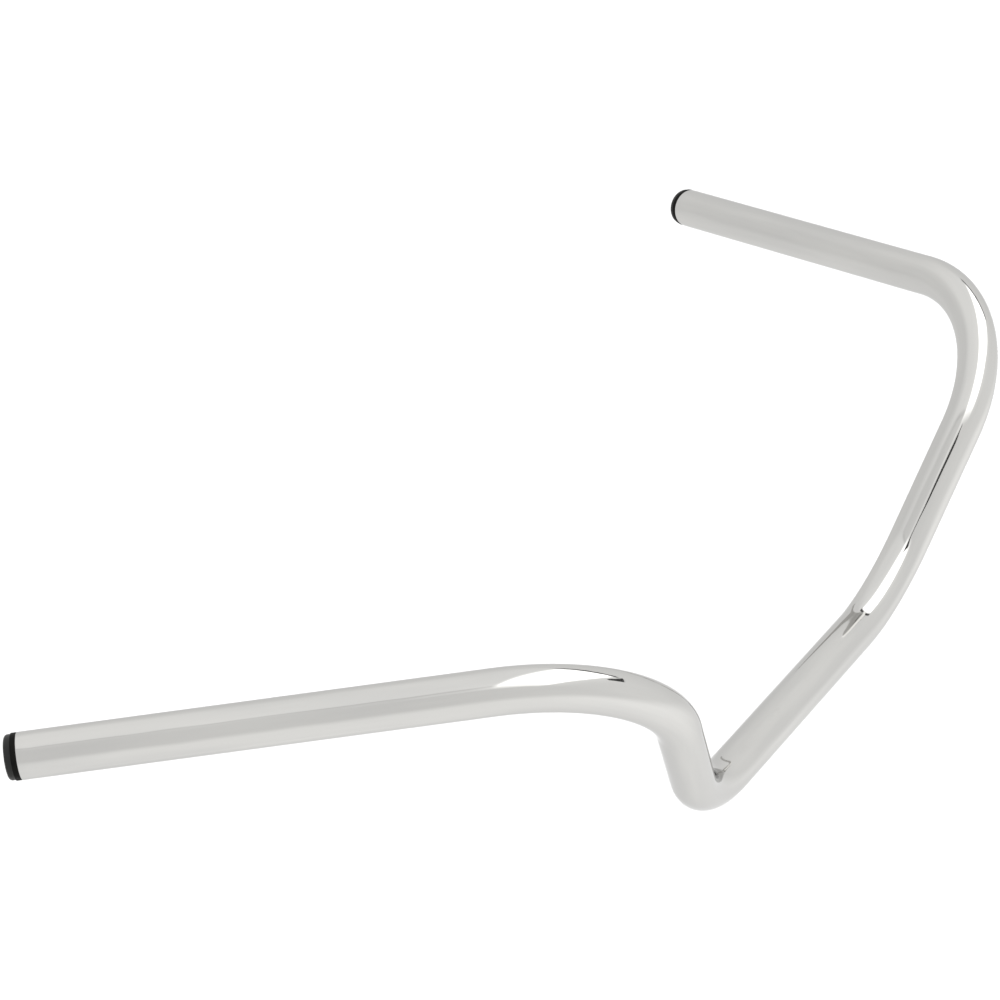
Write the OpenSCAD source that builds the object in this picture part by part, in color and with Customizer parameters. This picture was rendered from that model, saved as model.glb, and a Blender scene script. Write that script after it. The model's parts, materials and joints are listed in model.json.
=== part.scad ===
// Motorcycle handlebar: one bent steel tube with a push-in plug in each end.
// +X is the rider's right, +Y is forward and +Z is up. The origin is the middle
// of the straight clamp section, on the tube's centre line.

/* [Tube] */
// Outside diameter of the tube
tube_d = 25.4; // [22.2:0.1:32]
// Thickness of the tube's wall
tube_wall = 2.4; // [1.6:0.1:3.2]
// Radius of every bend, to the tube's centre line
bend_r = 93; // [60:1:100]

/* [Clamp section] */
// From the middle of the bar to the corner where the riser starts
clamp_half = 138.5; // [110:0.5:180]

/* [Risers] */
// How far each riser goes outwards, from corner to corner
riser_out = 131.5; // [100:0.5:160]
// How far each riser leans forwards
riser_forward = 33.5; // [0:0.5:60]
// How far each riser goes up
riser_up = 158; // [140:0.5:220]

/* [Grips] */
// How far each grip goes outwards, from the riser's top corner to the tube's end
grip_out = 157.5; // [120:0.5:200]
// How far each grip is swept back
grip_back = 294.5; // [220:0.5:340]
// How far each grip drops towards its end
grip_down = 46; // [0:0.5:80]

/* [End plugs] */
// Width of the rim that covers the tube's end
plug_rim_w = 2.9; // [1.5:0.1:4]
// How much smaller the rim's radius is than the tube's
plug_rim_inset = 0.1; // [0:0.05:0.5]
// Height of the crown outside the rim
plug_crown_h = 3.7; // [2.2:0.1:6]
// How much smaller the crown's radius is than the rim's
plug_crown_step = 0.5; // [0:0.1:1.5]
// Radius of the crown's rounded edge
plug_crown_round = 1.8; // [0.5:0.1:2]
// Length of the hollow shank inside the tube
plug_shank_len = 18; // [12:1:30]
// Thickness of the shank's wall
plug_shank_wall = 1.6; // [1.2:0.1:2.5]
// Number of gripping rings around the shank
plug_rings = 4; // [2:1:5]
// Width of each gripping ring
plug_ring_w = 1.6; // [1:0.1:2]
// How far each ring stands out of the shank
plug_ring_h = 0.5; // [0.3:0.1:0.8]
// Number of slits that let the shank flex
plug_slits = 4; // [2:1:6]
// Width of each slit
plug_slit_w = 1.5; // [1:0.1:2.5]

/* [Hidden] */

$fn = 96;
cut = 1;                                  // how far a cutting solid passes a face
overlap = 0.5;                            // how far one solid reaches into the next
decimals = 6;                             // of a clean sine or cosine
fine_step = pow(10, -decimals);
search_steps = 4000;                      // how many cosines near the exact one are tried
misfit_limit = 2e-9;
length_places = 2;                        // of a straight length, in millimetres
tube_r = tube_d / 2;
bore_r = tube_r - tube_wall;

// The three runs of the right half's centre line, from corner to corner
clamp_run = [clamp_half, 0, 0];
riser_run = [riser_out, riser_forward, riser_up];
grip_run = [grip_out, -grip_back, -grip_down];

// The rings just clear the tube's bore, and slope up from the shank over most of their width
ring_clearance = 0.03;
lead_in = 0.6;
ring_r = bore_r - ring_clearance;
shank_r = ring_r - plug_ring_h;
shank_bore_r = shank_r - plug_shank_wall;
rim_r = tube_r - plug_rim_inset;
rim_round = 0.4;
corner_sides = 48;
crown_r = rim_r - plug_crown_step;
ring_pitch = (plug_shank_len - plug_ring_w) / plug_rings;
slit_len = plug_shank_len - ring_pitch;

function unit(v) = v / norm(v);
// Angle by which the centre line turns from one run to the next
function turn(run_a, run_b) = acos(unit(run_a) * unit(run_b));
// Distance from a corner to the points where its bend starts and ends
function setback(angle) = bend_r * tan(angle / 2);
// A number to so many places
function rounded(x, places) = round(x * pow(10, places)) / pow(10, places);
// How far a clean cosine and its sine, also clean, are from a true pair
function misfit(c) = abs(c * c + pow(rounded(sqrt(1 - c * c), decimals), 2) - 1);
// The nearest angle whose sine and cosine both come out clean. A frame turned by it keeps
// its size exactly, so each stretch of rod meets the next edge to edge.
function clean_angle(angle) =
    let (
        first = rounded(cos(angle), decimals),
        steps = [for (i = [0 : search_steps]) (i % 2 == 0 ? i : -i - 1) / 2],
        tried = [for (k = steps) first + k * fine_step],
        clean = [for (c = tried) if (misfit(c) < misfit_limit) c]
    )
    len(clean) == 0 ? angle : sign(angle) * acos(clean[0]);

// The bar as a bender makes it: straight lengths, bends, and a twist before each bend
turn_foot = clean_angle(turn(clamp_run, riser_run));
turn_top = clean_angle(turn(riser_run, grip_run));
clamp_straight = rounded(clamp_half - setback(turn_foot), length_places);
riser_straight = rounded(norm(riser_run) - setback(turn_foot) - setback(turn_top), length_places);
grip_straight = rounded(norm(grip_run) - setback(turn_top), length_places);
normal_foot = unit(cross(clamp_run, riser_run));
normal_top = unit(cross(riser_run, grip_run));
twist_foot = clean_angle(atan2(riser_run.y, -riser_run.z));
twist_top = clean_angle(atan2(
    unit(riser_run) * cross(normal_foot, normal_top),
    normal_foot * normal_top
));

// Each of these frames has +Z along the rod, and +X towards the inside of the next bend
module at_foot() {
    translate([clamp_straight, 0, 0])
        rotate([0, 90, 0])
            rotate([0, 0, twist_foot])
                children();
}

module at_riser() {
    at_foot()
        past_bend(turn_foot)
            children();
}

module at_top() {
    at_riser()
        translate([0, 0, riser_straight])
            rotate([0, 0, twist_top])
                children();
}

module at_grip() {
    at_top()
        past_bend(turn_top)
            children();
}

module at_grip_end() {
    at_grip()
        translate([0, 0, grip_straight])
            children();
}

// Carries its children round a bend, from its start to its end
module past_bend(angle) {
    translate([bend_r, 0, 0])
        rotate([0, angle, 0])
            translate([-bend_r, 0, 0])
                children();
}

// Everything on one side of the XY plane, well past the reach of a bend's whole ring
module half_space(side) {
    ring_reach = 2 * bend_r + tube_d;
    size = 3 * ring_reach;
    translate([0, 0, side * size / 2])
        cube(size, center = true);
}

// A bend in a round rod: the stretch of a whole ring between the bend's two end planes
module bend(angle, r) {
    difference() {
        translate([bend_r, 0, 0])
            rotate([90, 0, 0])
                rotate_extrude()
                    translate([bend_r, 0])
                        circle(r = r);
        half_space(-1);
        past_bend(angle) half_space(1);
    }
}

// One riser and its grip, which passes the tube's end by a little if asked
module arm(r, past_end = 0) {
    at_foot() bend(turn_foot, r);
    at_riser() cylinder(r = r, h = riser_straight);
    at_top() bend(turn_top, r);
    at_grip() cylinder(r = r, h = grip_straight + past_end);
}

// The whole bar's centre line as a solid rod
module rod(r, past_end = 0) {
    rotate([0, 90, 0])
        cylinder(r = r, h = 2 * clamp_straight, center = true);
    arm(r, past_end);
    mirror([1, 0, 0]) arm(r, past_end);
}

module bar_tube() {
    color([0.83, 0.83, 0.82])
        difference() {
            rod(tube_r);
            rod(bore_r, cut);
        }
}

// A disc with a rounded upper edge, as a half outline to turn about Z
module rounded_disc_outline(r, h, edge) {
    square([r, h - edge]);
    square([r - edge, h]);
    translate([r - edge, h - edge]) circle(r = edge, $fn = corner_sides);
}

// The plug stands on the tube's end, with its shank down inside the bore
module plug_outline() {
    // The shank
    translate([shank_bore_r, -plug_shank_len])
        square([plug_shank_wall, plug_shank_len + overlap]);
    // Gripping rings, each with a slope that leads it into the bore
    for (i = [0 : plug_rings - 1])
        translate([0, -plug_shank_len + i * ring_pitch])
            polygon([
                [shank_bore_r + overlap, 0],
                [shank_r, 0],
                [ring_r, plug_ring_w * lead_in],
                [ring_r, plug_ring_w],
                [shank_bore_r + overlap, plug_ring_w]
            ]);
    // The rim over the tube's end, and the crown outside it
    rounded_disc_outline(rim_r, plug_rim_w, rim_round);
    rounded_disc_outline(crown_r, plug_rim_w + plug_crown_h, plug_crown_round);
}

module plug() {
    color([0.12, 0.12, 0.12])
        difference() {
            rotate_extrude() plug_outline();
            for (i = [0 : plug_slits - 1])
                rotate([0, 0, i * 360 / plug_slits])
                    translate([0, -plug_slit_w / 2, -plug_shank_len - cut])
                        cube([tube_r, plug_slit_w, slit_len + cut]);
        }
}

module end_plug_right() {
    at_grip_end() plug();
}

module end_plug_left() {
    mirror([1, 0, 0]) end_plug_right();
}

bar_tube();
end_plug_right();
end_plug_left();
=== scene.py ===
import json
import math

import bmesh
import bpy
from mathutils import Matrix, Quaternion, Vector


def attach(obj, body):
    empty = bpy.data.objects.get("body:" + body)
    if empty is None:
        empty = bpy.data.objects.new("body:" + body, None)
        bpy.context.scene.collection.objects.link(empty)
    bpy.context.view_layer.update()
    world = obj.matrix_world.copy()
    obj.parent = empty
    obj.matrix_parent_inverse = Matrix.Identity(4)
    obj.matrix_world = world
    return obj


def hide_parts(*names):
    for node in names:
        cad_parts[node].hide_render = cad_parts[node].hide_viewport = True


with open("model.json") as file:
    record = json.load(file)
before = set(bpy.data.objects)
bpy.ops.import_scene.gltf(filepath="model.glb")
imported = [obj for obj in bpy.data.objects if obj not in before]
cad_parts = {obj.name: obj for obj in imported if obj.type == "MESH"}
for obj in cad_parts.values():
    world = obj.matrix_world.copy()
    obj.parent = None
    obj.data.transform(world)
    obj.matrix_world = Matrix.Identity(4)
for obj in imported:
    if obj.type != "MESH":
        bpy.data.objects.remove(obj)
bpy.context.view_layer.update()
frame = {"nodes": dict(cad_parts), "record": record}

# A chromed motorcycle handlebar: one bent tube with a black plastic plug in each end.
# Lengths are in metres. The tube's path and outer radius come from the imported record's mounts.

MM = 0.001
WHOLE_TURN = 2 * math.pi

# The tube
BEND_R = 93 * MM          # every bend, to the centre line
WALL = 2.4 * MM
OUTER_EDGE = 0.6 * MM     # rounding of the tube's cut end, outside
INNER_EDGE = 0.3 * MM     # and inside
RUN_STEP = 8 * MM         # between rings along a straight stretch
BEND_STEP = 2 * MM        # between rings along a bend
AROUND = 128              # points around every ring
EDGE_SEGMENTS = 6         # in each rounded edge of a cut end
RISER_ROUNDS = 30         # more than enough for the riser's direction to settle

# The plugs
RIM_INSET = 0.1 * MM
RIM_W = 2.9 * MM
RIM_ROUND = 0.4 * MM
CROWN_H = 3.7 * MM
CROWN_STEP = 0.5 * MM     # between the rim's radius and the crown's
CROWN_ROUND = 1.8 * MM
SHANK_LEN = 18 * MM
SHANK_WALL = 1.6 * MM
RING_GAP = 0.03 * MM      # between the gripping rings and the bore
RING_H = 0.5 * MM
RING_W = 1.6 * MM
RINGS = 4
SLITS = 4
SLIT_W = 1.5 * MM
LEAD_IN = 0.6             # part of a ring's width that slopes
GATE_R = 1.3 * MM         # the moulding gate's dimple in the middle of the crown
GATE_FLAT = 0.7           # part of the dimple's radius that is flat
GATE_DEPTH = 0.35 * MM
CROWN_SEGMENTS = 10       # in the crown's rounded edge
ROOT_SEGMENTS = 3         # where the crown meets the rim
RIM_SEGMENTS = 4          # in each of the rim's two edges

# The chrome. Noise scales are per metre: along the tube, then twice across it.
CHROME_LIGHT = (0.602, 0.596, 0.577, 1)
CHROME_DARK = (0.562, 0.557, 0.542, 1)
CHROME_EDGE = (0.75, 0.75, 0.75, 1)   # its tint at grazing angles
CHROME_ROUGHNESS = (0.035, 0.075)
CLOUD_SCALE = (7, 70, 70)
CLOUD_RANGE = (0.35, 0.65)
HAZE_SCALE = (60, 220, 220)
HAZE_RANGE = (0.3, 0.7)
WAVE_SCALE = (20, 75, 75)
STREAK_SCALE = (7, 380, 380)
POLISH_SCALE = (2600, 60, 60)
WAVE_DEPTH = 0.30 * MM
STREAK_DEPTH = 0.040 * MM
POLISH_DEPTH = 0.0008 * MM

# The plastics
GRAIN_SCALE = (4500, 4500, 4500)
GRAIN_DEPTH = 0.02 * MM
PATCH_SCALE = (300, 300, 300)
PATCH_RANGE = (0.3, 0.7)

# The camera
CAMERA_PLACE = Vector((1.9431, 0.7728, 1.1460))
CAMERA_AIM = Vector((0.1134, -0.1382, 0.1500))
LENS_MM = 144.46
SENSOR_MM = 36

# The floor, and a small dark board above the bar
FLOOR_Z = -0.16
FLOOR_HALF = 60.0
FLOOR_CORNERS = [(x * FLOOR_HALF, y * FLOOR_HALF) for x, y in ((-1, -1), (1, -1), (1, 1), (-1, 1))]
FLOOR_COLOUR = (0.84, 0.84, 0.838, 1)
BOARD_Z = 0.33
BOARD_CORNERS = [(-0.004, 0.146), (0.136, 0.160), (0.138, 0.180), (0.046, 0.232)]
CLOTH_DARK = (0.045, 0.045, 0.045, 1)
CLOTH_LIGHT = (0.065, 0.065, 0.065, 1)
MATT = 0.9                # the roughness of both

# The light tent, whose strength depends on a direction's x, y and z. A tone is (change with
# x, change with y, strength in the middle). A span is (low, high), and where it has a third
# number, that is the width of its soft edges.
PAPER_TONE = (-0.09, 0.15, 1.16)
WALL_TONE = (-0.07, 0.05, 0.98)
PAPER_TO_WALL_Z = (-0.42, -0.02)
TOP = 1.11
TOP_Z = (0.45, 0.80)
TOP_X = (-1.30, 0.66, 0.10)
BACKDROP = 1.1

# What is in the tent's ceiling
CEILING_Z = (0.15, 0.25)
LOWEST_Z = 0.08           # keeps the ceiling's places finite
LIGHT_TURN = math.radians(12)
ALONG_SHIFT = 0.06
ACROSS_SHIFT = -0.44
LIGHT = 2.6
LIGHT_START = (-1.04, -0.98)
LIGHT_FADE = (0.42, 1.20)
LIGHT_ACROSS = (-0.38, 0.42, 0.12)
GLOW = 0.05
GLOW_ALONG = (-1.2, 0.9, 0.5)
GLOW_ACROSS = (-0.7, 0.7, 0.5)
LIP_ALONG = (-1.21, -1.06, 0.04)
LIP_ACROSS = (-0.45, 0.50, 0.10)
SEAM = 0.10
SEAM_X = (0.66, 0.74, 0.05)
SEAM_Y = (-0.45, 0.20, 0.10)
DARK = 0.05


# ---------------------------------------------------------------- meshes


def make_object(name, vertices, faces):
    """A flat-shaded mesh object in the scene."""
    mesh = bpy.data.meshes.new(name)
    mesh.from_pydata(vertices, [], faces)
    made = bpy.data.objects.new(name, mesh)
    bpy.context.scene.collection.objects.link(made)
    return made


def make_piece(name, vertices, faces):
    """A smooth mesh object whose faces all point outwards."""
    piece = make_object(name, vertices, faces)
    work = bmesh.new()
    work.from_mesh(piece.data)
    bmesh.ops.recalc_face_normals(work, faces=work.faces)
    work.to_mesh(piece.data)
    work.free()
    piece.data.polygons.foreach_set("use_smooth", [True] * len(piece.data.polygons))
    return piece


def strip(first, second, count, wraps):
    """The quads between two rows of points, given each row's first index."""
    quads = []
    for i in range(count if wraps else count - 1):
        j = (i + 1) % count
        quads.append((first + i, first + j, second + j, second + i))
    return quads


def arc(centre, radius, start, end, steps):
    """Points (r, z) on an arc, with its angles in degrees from the r axis."""
    points = []
    for i in range(steps + 1):
        angle = math.radians(start + (end - start) * i / steps)
        points.append((centre[0] + radius * math.cos(angle), centre[1] + radius * math.sin(angle)))
    return points


def circle():
    """The cosine and sine of every point around a ring."""
    angles = [WHOLE_TURN * i / AROUND for i in range(AROUND)]
    return [(math.cos(angle), math.sin(angle)) for angle in angles]


def mirrored(point):
    return Vector((-point.x, point.y, point.z))


# ---------------------------------------------------------------- the centre line


class Pen:
    """Walks along a centre line and keeps a station at every step.

    A station is (distance walked, place, heading, side), and side stays square to the
    heading without twisting, so that rings drawn from it join up cleanly.
    """

    def __init__(self, place, heading, side):
        self.walked = 0.0
        self.place = place
        self.heading = heading
        self.side = side
        self.stations = [self.station()]

    def station(self):
        return self.walked, self.place.copy(), self.heading.copy(), self.side.copy()

    def forward(self, length):
        start, walked = self.place, self.walked
        steps = math.ceil(length / RUN_STEP)
        for i in range(1, steps + 1):
            self.place = start + self.heading * (length * i / steps)
            self.walked = walked + length * i / steps
            self.stations.append(self.station())

    def bend(self, new_heading):
        axis = self.heading.cross(new_heading).normalized()
        angle = self.heading.angle(new_heading)
        start, heading, side, walked = self.place, self.heading, self.side, self.walked
        centre = start + axis.cross(heading) * BEND_R
        steps = math.ceil(angle * BEND_R / BEND_STEP)
        for i in range(1, steps + 1):
            turn = Quaternion(axis, angle * i / steps)
            self.place = centre + turn @ (start - centre)
            self.heading = turn @ heading
            self.side = turn @ side
            self.walked = walked + angle * BEND_R * i / steps
            self.stations.append(self.station())


def mount_named(name):
    return next(m for m in frame["record"]["mounts"] if m["name"] == name)


def straight_seat(name):
    """Where a straight stretch starts and ends, and its direction, from its mount."""
    mount = mount_named(name)
    axis = Vector(mount["axis"]).normalized()
    half = axis * (mount["dims"]["length_mm"] * MM / 2)
    middle = Vector(mount["pos_m"])
    return middle - half, middle + half, axis


def setback(heading_a, heading_b):
    """From a corner to the points where its bend starts and ends."""
    return BEND_R * math.tan(heading_a.angle(heading_b) / 2)


def right_half():
    """The stations of the right half's centre line, from the middle to the tube's end."""
    _, clamp_end, clamp_axis = straight_seat("clamp_seat")
    grip_start, grip_end, grip_axis = straight_seat("right_grip_seat")
    # The riser joins two corners, and each corner's place depends on the riser's direction
    riser = (grip_start - clamp_end).normalized()
    for _ in range(RISER_ROUNDS):
        foot = clamp_end + clamp_axis * setback(clamp_axis, riser)
        top = grip_start - grip_axis * setback(riser, grip_axis)
        riser = (top - foot).normalized()
    riser_run = (top - foot).length - setback(clamp_axis, riser) - setback(riser, grip_axis)
    pen = Pen(Vector((0, 0, 0)), clamp_axis, Vector((0, 0, 1)))
    pen.forward(clamp_end.length)
    pen.bend(riser)
    pen.forward(riser_run)
    pen.bend(grip_axis)
    pen.forward((grip_end - grip_start).length)
    return pen.stations


def ring(station, radius, offset):
    """Points round a station's centre, moved along its heading by offset."""
    _, place, heading, side = station
    other = heading.cross(side)
    middle = place + heading * offset
    return [middle + (side * cos + other * sin) * radius for cos, sin in circle()]


# ---------------------------------------------------------------- the tube


def tube_profile(stations, tube_r, bore_r):
    """(station, radius, offset) for each ring: out along the tube and back along its bore."""
    last = stations[-1]
    edge = arc((tube_r - OUTER_EDGE, -OUTER_EDGE), OUTER_EDGE, 0, 90, EDGE_SEGMENTS)
    edge += arc((bore_r + INNER_EDGE, -INNER_EDGE), INNER_EDGE, 90, 180, EDGE_SEGMENTS)
    rings = [(s, tube_r, 0.0) for s in stations[:-1]]
    rings += [(last, r, z) for r, z in edge]
    rings += [(s, bore_r, 0.0) for s in reversed(stations[:-1])]
    return rings


def with_left_half(half_rows):
    """Adds the mirror image of a half's rows, which shares the two rows in the middle."""
    return half_rows + [[mirrored(p) for p in row] for row in half_rows[-2:0:-1]]


def make_tube(stations, tube_r):
    """The whole bar as one closed skin. Its attribute "unbent" is where each point would
    be on a straight bar: the distance along it, then the place across it."""
    half_rings, half_unbent = [], []
    for station, radius, offset in tube_profile(stations, tube_r, tube_r - WALL):
        half_rings.append(ring(station, radius, offset))
        along = station[0] + offset
        half_unbent.append([Vector((along, radius * cos, radius * sin)) for cos, sin in circle()])
    rings = with_left_half(half_rings)
    unbent = with_left_half(half_unbent)
    faces = []
    for i in range(len(rings)):
        faces += strip(i * AROUND, (i + 1) % len(rings) * AROUND, AROUND, wraps=True)
    tube = make_piece("handlebar_tube", [p for r in rings for p in r], faces)
    attribute = tube.data.attributes.new("unbent", "FLOAT_VECTOR", "POINT")
    attribute.data.foreach_set("vector", [c for r in unbent for p in r for c in p])
    return tube


# ---------------------------------------------------------------- the end plugs


def head_outline(tube_r, shank_r, shank_bore_r, collar_h):
    """The crown, the rim and the top of the shank, as (r, z) points from axis to axis."""
    rim_r = tube_r - RIM_INSET
    crown_r = rim_r - CROWN_STEP
    top = RIM_W + CROWN_H
    corner = RIM_ROUND / 2
    gate = [(0, top - GATE_DEPTH), (GATE_R * GATE_FLAT, top - GATE_DEPTH), (GATE_R, top)]
    crown = arc((crown_r - CROWN_ROUND, top - CROWN_ROUND), CROWN_ROUND, 90, 0, CROWN_SEGMENTS)
    root = arc((crown_r + corner, RIM_W + corner), corner, 180, 270, ROOT_SEGMENTS)
    rim = arc((rim_r - corner, RIM_W - corner), corner, 90, 0, RIM_SEGMENTS)
    rim += arc((rim_r - corner, corner), corner, 0, -90, RIM_SEGMENTS)
    shank = [(shank_r, 0), (shank_r, -collar_h), (shank_bore_r, -collar_h), (shank_bore_r, 0)]
    return gate + crown + root + rim + shank + [(0, 0)]


def grip_ring(ring_r, shank_r, foot):
    """The outside of one gripping ring, with the slope that leads it into the bore."""
    return [(shank_r, foot), (ring_r, foot + RING_W * LEAD_IN), (ring_r, foot + RING_W)]


def prong_outline(ring_r, shank_r, shank_bore_r, pitch):
    """A closed outline of the shank's wall where the slits cut it, with its gripping rings."""
    overlap = RING_W / 4
    points = [(shank_bore_r, overlap - pitch), (shank_bore_r, -SHANK_LEN)]
    for i in range(RINGS - 1):
        foot = -SHANK_LEN + i * pitch
        points += grip_ring(ring_r, shank_r, foot) + [(shank_r, foot + RING_W)]
    return points + [(shank_r, overlap - pitch)]


def collar_ring_outline(ring_r, shank_r, pitch):
    """The gripping ring on the collar, above the slits."""
    inner = shank_r - RING_H
    return [(inner, -pitch)] + grip_ring(ring_r, shank_r, -pitch) + [(inner, -pitch + RING_W)]


def add_solid(vertices, faces, outline, start, end, steps):
    """Turns a closed outline of (r, z) points from one angle to another, in radians.

    A whole turn closes on itself, and points on the axis become one point.
    """
    whole = end - start >= WHOLE_TURN
    rows = steps if whole else steps + 1
    columns = []
    for r, z in outline:
        first = len(vertices)
        copies = 1 if r == 0 else rows
        for i in range(copies):
            angle = start + (end - start) * i / steps
            vertices.append((r * math.cos(angle), r * math.sin(angle), z))
        columns.append((first, copies))
    pairs = list(zip(columns, columns[1:]))
    if outline[0][0] > 0:
        pairs.append((columns[-1], columns[0]))
    for (a, copies_a), (b, copies_b) in pairs:
        if copies_a == rows and copies_b == rows:
            faces += strip(a, b, rows, whole)
            continue
        pole, row = (a, b) if copies_a == 1 else (b, a)
        faces += [(pole, row + i, row + (i + 1) % rows) for i in range(rows)]
    if not whole:
        faces.append([first for first, _ in columns])
        faces.append([first + rows - 1 for first, _ in columns])


def make_plug(name, end_station, tube_r, mirror, finishes):
    """One plug, standing on the tube's end with its shank down inside the bore.

    The finishes are the crown's and the rim's. The shank has the rim's.
    """
    ring_r = tube_r - WALL - RING_GAP
    shank_r = ring_r - RING_H
    shank_bore_r = shank_r - SHANK_WALL
    pitch = (SHANK_LEN - RING_W) / RINGS
    vertices, faces = [], []
    head = head_outline(tube_r, shank_r, shank_bore_r, pitch)
    add_solid(vertices, faces, head, 0, WHOLE_TURN, AROUND)
    collar_ring = collar_ring_outline(ring_r, shank_r, pitch)
    add_solid(vertices, faces, collar_ring, 0, WHOLE_TURN, AROUND)
    prong = prong_outline(ring_r, shank_r, shank_bore_r, pitch)
    half_slit = SLIT_W / 2 / shank_r
    for i in range(SLITS):
        start = WHOLE_TURN * i / SLITS + half_slit
        end = WHOLE_TURN * (i + 1) / SLITS - half_slit
        add_solid(vertices, faces, prong, start, end, AROUND // SLITS)
    _, place, heading, side = end_station
    other = heading.cross(side)
    placed = [place + side * x + other * y + heading * z for x, y, z in vertices]
    if mirror:
        placed = [mirrored(p) for p in placed]
    plug = make_piece(name, placed, faces)
    for plastic in finishes:
        plug.data.materials.append(plastic)
    # The crown's finish also covers the rim's flat top, and ends as the rim's edge turns down
    crown_foot = RIM_W - RIM_ROUND / 4
    heights = [z for _, _, z in vertices]
    for face in plug.data.polygons:
        lowest = min(heights[v] for v in face.vertices)
        face.material_index = 0 if lowest > crown_foot else 1
    return plug


# ---------------------------------------------------------------- shader nodes


class Shader:
    """Short ways to add nodes to one node tree. A value may be a number or an output."""

    def __init__(self, tree):
        self.tree = tree
        tree.nodes.clear()

    def put(self, socket, value):
        if isinstance(value, bpy.types.NodeSocket):
            self.tree.links.new(value, socket)
        else:
            socket.default_value = value

    def node(self, kind, inputs=None, **settings):
        made = self.tree.nodes.new(kind)
        for name, value in settings.items():
            setattr(made, name, value)
        for key, value in (inputs or {}).items():
            self.put(made.inputs[key], value)
        return made

    def math(self, operation, *values):
        made = self.node("ShaderNodeMath", dict(enumerate(values)), operation=operation)
        return made.outputs[0]

    def span(self, value, low, high, out_low=0.0, out_high=1.0):
        """Turns low..high smoothly into out_low..out_high, and holds the ends."""
        inputs = {"Value": value, 1: low, 2: high, 3: out_low, 4: out_high}
        made = self.node("ShaderNodeMapRange", inputs, interpolation_type="SMOOTHSTEP")
        return made.outputs[0]

    def inside(self, value, low, high, soft):
        """1 where value lies between low and high, with edges of width soft."""
        rising = self.span(value, low - soft / 2, low + soft / 2)
        falling = self.span(value, high - soft / 2, high + soft / 2, 1.0, 0.0)
        return self.both(rising, falling)

    def both(self, a, b):
        """The product: 1 only where a and b are both 1."""
        return self.math("MULTIPLY", a, b)

    def blend(self, a, b, factor):
        """a where factor is 0, and b where it is 1."""
        made = self.node("ShaderNodeMix", {"Factor": factor, 2: a, 3: b}, data_type="FLOAT")
        return made.outputs[0]

    def plane(self, x, y, per_x, per_y, start):
        """start + per_x * x + per_y * y"""
        part = self.math("MULTIPLY_ADD", x, per_x, start)
        return self.math("MULTIPLY_ADD", y, per_y, part)

    def noise(self, vector, detail=2.0, roughness=0.5):
        inputs = {"Vector": vector, "Scale": 1.0, "Detail": detail, "Roughness": roughness}
        return self.node("ShaderNodeTexNoise", inputs).outputs[0]

    def scaled_noise(self, vector, scale, detail=2.0, roughness=0.5):
        inputs = {0: vector, 1: scale}
        made = self.node("ShaderNodeVectorMath", inputs, operation="MULTIPLY")
        return self.noise(made.outputs[0], detail, roughness)

    def mix(self, factor, colour_a, colour_b):
        """colour_a where factor is 0, and colour_b where it is 1."""
        inputs = {"Factor": factor, 6: colour_a, 7: colour_b}
        return self.node("ShaderNodeMix", inputs, data_type="RGBA").outputs[2]

    def bump(self, height, depth, normal=None):
        """Raises the surface by height, from 0 to 1, times depth in metres."""
        made = self.node("ShaderNodeBump", {"Height": height, "Distance": depth})
        if normal is not None:
            self.put(made.inputs["Normal"], normal)
        return made.outputs[0]


def new_material(name):
    material = bpy.data.materials.new(name)
    material.use_nodes = True
    return material, Shader(material.node_tree)


def finish_material(shader, inputs):
    """Adds the surface itself, with these inputs, and the material's output."""
    principled = shader.node("ShaderNodeBsdfPrincipled", inputs)
    shader.node("ShaderNodeOutputMaterial", {"Surface": principled.outputs[0]})


def make_chrome():
    """Polished chrome plate over a buffed tube."""
    material, shader = new_material("chromed_steel")
    unbent = shader.node("ShaderNodeAttribute", attribute_name="unbent").outputs["Vector"]
    # Slow changes of tone in the plate, and finer ones in its polish
    cloud = shader.scaled_noise(unbent, CLOUD_SCALE, detail=3.0)
    haze = shader.scaled_noise(unbent, HAZE_SCALE, detail=4.0, roughness=0.6)
    # The tube is never quite true: long shallow waves, a little closer round the tube
    waves = shader.scaled_noise(unbent, WAVE_SCALE, detail=1.5)
    # Long faint streaks from drawing the tube, under fine rings left by the polishing belt
    streaks = shader.scaled_noise(unbent, STREAK_SCALE)
    rings = shader.scaled_noise(unbent, POLISH_SCALE)
    normal = shader.bump(waves, WAVE_DEPTH)
    normal = shader.bump(streaks, STREAK_DEPTH, normal)
    normal = shader.bump(rings, POLISH_DEPTH, normal)
    finish_material(shader, {
        "Base Color": shader.mix(shader.span(cloud, *CLOUD_RANGE), CHROME_LIGHT, CHROME_DARK),
        "Metallic": 1.0,
        "Roughness": shader.span(haze, *HAZE_RANGE, *CHROME_ROUGHNESS),
        "Specular Tint": CHROME_EDGE,
        "Normal": normal,
    })
    return material


def make_plastic(name, dark, light, roughness, specular):
    """Moulded black plastic with the fine texture of its mould."""
    material, shader = new_material(name)
    place = shader.node("ShaderNodeTexCoord").outputs["Object"]
    grain = shader.scaled_noise(place, GRAIN_SCALE)
    patches = shader.scaled_noise(place, PATCH_SCALE, detail=3.0)
    finish_material(shader, {
        "Base Color": shader.mix(shader.span(patches, *PATCH_RANGE), (*dark, 1), (*light, 1)),
        "Roughness": shader.span(patches, *PATCH_RANGE, *roughness),
        "Specular IOR Level": specular,
        "Normal": shader.bump(grain, GRAIN_DEPTH),
    })
    return material


def make_floor_paper():
    material, shader = new_material("studio_floor")
    finish_material(shader, {
        "Base Color": FLOOR_COLOUR,
        "Roughness": MATT,
        "Specular IOR Level": 0.0,
    })
    return material


def make_board_cloth():
    material, shader = new_material("board_cloth")
    cloth = shader.noise(shader.node("ShaderNodeNewGeometry").outputs["Position"])
    finish_material(shader, {
        "Base Color": shader.mix(cloth, CLOTH_DARK, CLOTH_LIGHT),
        "Roughness": MATT,
    })
    return material


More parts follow.
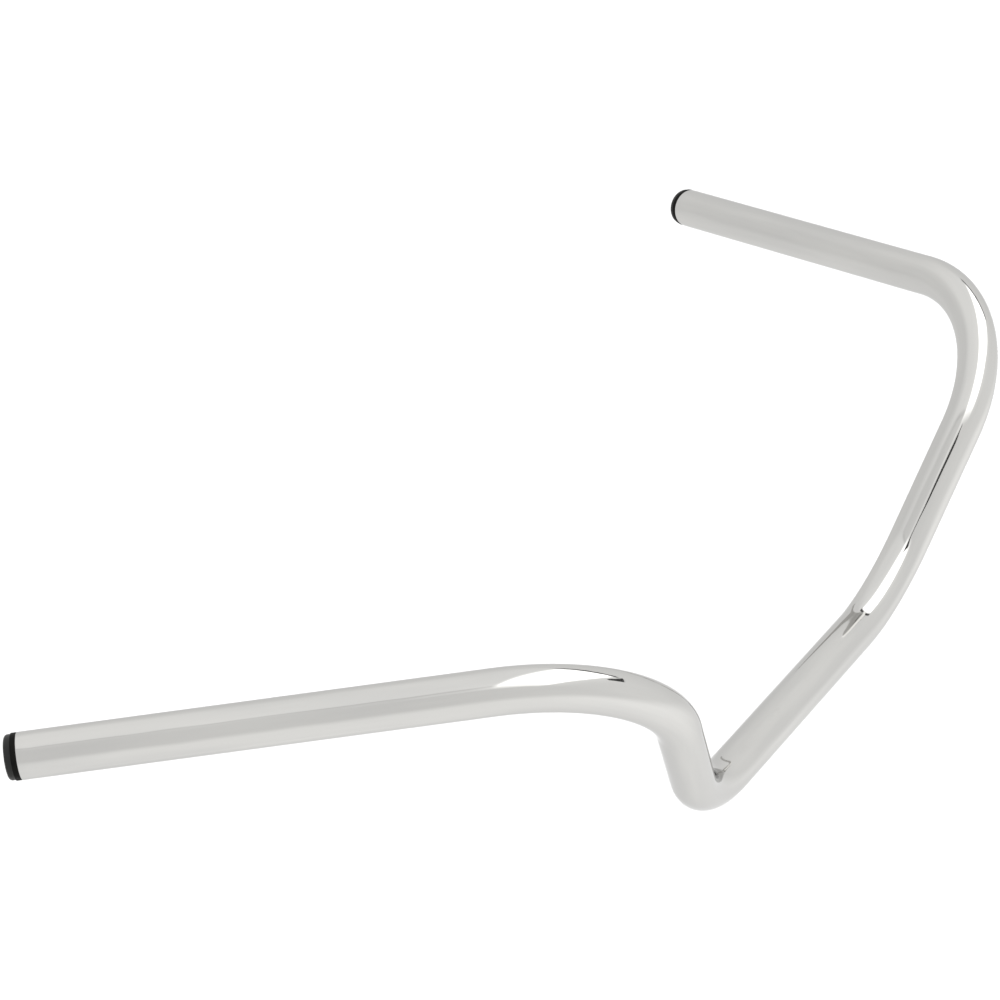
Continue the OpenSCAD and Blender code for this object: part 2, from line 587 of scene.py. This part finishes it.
# ---------------------------------------------------------------- the studio


def make_world():
    """A white light tent with a wide soft light overhead.

    sky_x and sky_y are where a direction meets a ceiling one unit above the bar. Along and
    across are places in that same ceiling, turned to lie with the light.
    """
    world = bpy.data.worlds.new("light_tent")
    bpy.context.scene.world = world
    world.use_nodes = True
    shader = Shader(world.node_tree)
    direction = shader.node("ShaderNodeTexCoord").outputs["Generated"]
    x, y, z = shader.node("ShaderNodeSeparateXYZ", {0: direction}).outputs
    rise = shader.math("MAXIMUM", z, LOWEST_Z)
    sky_x = shader.math("DIVIDE", x, rise)
    sky_y = shader.math("DIVIDE", y, rise)
    above = shader.span(z, *CEILING_Z)

    # The paper below is a little lighter than the tent's walls, and so is the top
    paper = shader.plane(x, y, *PAPER_TONE)
    wall = shader.plane(x, y, *WALL_TONE)
    tent = shader.blend(paper, wall, shader.span(z, *PAPER_TO_WALL_Z))
    top = shader.both(shader.inside(sky_x, *TOP_X), shader.span(z, *TOP_Z))
    tent = shader.blend(tent, TOP, top)

    # The overhead light is long and narrow, and turned a little in the ceiling
    cos, sin = math.cos(LIGHT_TURN), math.sin(LIGHT_TURN)
    along = shader.plane(sky_x, sky_y, cos, sin, ALONG_SHIFT)
    across = shader.plane(sky_x, sky_y, -sin, cos, ACROSS_SHIFT)
    start = shader.span(along, *LIGHT_START)
    fade = shader.span(along, *LIGHT_FADE, 1.0, 0.0)
    light = shader.both(shader.both(start, fade), shader.inside(across, *LIGHT_ACROSS))
    glow = shader.both(shader.inside(along, *GLOW_ALONG), shader.inside(across, *GLOW_ACROSS))

    # A dark lip past one end of the light, and a faint seam where the lighter top ends
    lip = shader.both(shader.inside(along, *LIP_ALONG), shader.inside(across, *LIP_ACROSS))
    seam = shader.both(shader.inside(sky_x, *SEAM_X), shader.inside(sky_y, *SEAM_Y))
    dark = shader.math("MAXIMUM", lip, shader.both(seam, SEAM))

    strength = shader.math("ADD", tent, shader.both(glow, GLOW))
    strength = shader.blend(strength, LIGHT, shader.both(light, above))
    strength = shader.blend(strength, DARK, shader.both(dark, above))

    # Seen straight on, past the floor's edge, the tent is plain white
    seen = shader.node("ShaderNodeLightPath").outputs["Is Camera Ray"]
    strength = shader.blend(strength, BACKDROP, seen)
    inputs = {"Color": (1, 1, 1, 1), "Strength": strength}
    background = shader.node("ShaderNodeBackground", inputs)
    shader.node("ShaderNodeOutputWorld", {"Surface": background.outputs[0]})


def make_sheet(name, corners, height, material):
    """A flat sheet with four corners, all at one height."""
    sheet = make_object(name, [(x, y, height) for x, y in corners], [(0, 1, 2, 3)])
    sheet.data.materials.append(material)
    return sheet


def make_floor():
    floor = make_sheet("studio_floor", FLOOR_CORNERS, FLOOR_Z, make_floor_paper())
    # Reflections see the tent's own paper, so the chrome has no hard line at the horizon
    floor.visible_glossy = False


def make_dark_board():
    """A small dark board above the bar. Only reflections show it, as a line along a riser
    and a wedge on a bend."""
    board = make_sheet("dark_board", BOARD_CORNERS, BOARD_Z, make_board_cloth())
    board.visible_camera = False
    board.visible_diffuse = False
    board.visible_shadow = False


def make_camera():
    camera = bpy.data.objects.new("camera", bpy.data.cameras.new("camera"))
    bpy.context.scene.collection.objects.link(camera)
    camera.data.lens = LENS_MM
    camera.data.sensor_width = SENSOR_MM
    camera.location = CAMERA_PLACE
    camera.rotation_mode = "QUATERNION"
    camera.rotation_quaternion = (CAMERA_AIM - CAMERA_PLACE).to_track_quat("-Z", "Y")
    bpy.context.scene.camera = camera


make_camera()
make_world()
make_floor()
make_dark_board()
bpy.context.scene.view_settings.view_transform = "Standard"

chrome = make_chrome()
crown_plastic = make_plastic(
    "plug_crown_plastic",
    dark=(0.009, 0.009, 0.0085),
    light=(0.013, 0.013, 0.012),
    roughness=(0.40, 0.52),
    specular=0.28,
)
rim_plastic = make_plastic(
    "plug_rim_plastic",
    dark=(0.004, 0.004, 0.004),
    light=(0.007, 0.007, 0.006),
    roughness=(0.45, 0.60),
    specular=0.06,
)
plug_finishes = (crown_plastic, rim_plastic)

tube_radius = mount_named("clamp_seat")["dims"]["r_mm"] * MM
bar_stations = right_half()

tube = make_tube(bar_stations, tube_radius)
tube.data.materials.append(chrome)
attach(tube, "root")
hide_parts("bar_tube")

for side_name, is_left in (("right", False), ("left", True)):
    piece_name = f"plug_{side_name}"
    plug = make_plug(piece_name, bar_stations[-1], tube_radius, is_left, plug_finishes)
    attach(plug, "root")
    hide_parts(f"end_plug_{side_name}")

# The CAD nodes aren't shown, but carry the same finishes
cad_finishes = {"bar_tube": chrome, "end_plug_right": rim_plastic, "end_plug_left": rim_plastic}
for node_name, finish in cad_finishes.items():
    cad_mesh = frame["nodes"][node_name].data
    cad_mesh.materials.clear()
    cad_mesh.materials.append(finish)
